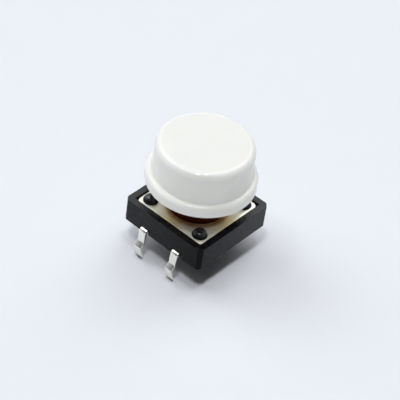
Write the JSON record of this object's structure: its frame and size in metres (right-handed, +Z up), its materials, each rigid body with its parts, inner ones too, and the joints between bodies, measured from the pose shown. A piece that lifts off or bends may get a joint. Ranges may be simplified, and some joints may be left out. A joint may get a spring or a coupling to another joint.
{
  "type": "tactile push button switch",
  "caption": "Square through-hole tactile switch with kinked leads, a metal cover held by formed posts, and a round flanged key cap on a sprung plunger.",
  "frame": {"origin": "centre of the housing's underside, where it seats on a circuit board", "axes": "+Z up along the plunger, towards the cap; +X and -X towards the sides that carry the leads"},
  "size_m": [0.0142, 0.0132, 0.0159],
  "materials": {
    "housing_plastic": "black moulded nylon, fine satin grain",
    "cover_metal": "satin plated sheet, slightly warm",
    "plunger_plastic": "dark red-brown moulding, satin gloss",
    "cap_plastic": "white moulding, soft gloss",
    "dome_steel": "bright spring steel",
    "terminal_tin": "bright tinned strip"
  },
  "bodies": {
    "base": {"housing": "housing_plastic", "cover": "cover_metal", "contact_dome": "dome_steel", "terminal_centre": "terminal_tin", "terminal_outer": "terminal_tin"},
    "button": {"plunger": "plunger_plastic", "cap": "cap_plastic"}
  },
  "joints": [
    {"name": "button_press", "type": "slide", "parent": "base", "child": "button", "axis": [0, 0, -1], "range_m": [0, 0.0003], "stiffness_N_per_m": 4500, "springref_m": -0.0001, "deforming": ["contact_dome"]}
  ]
}
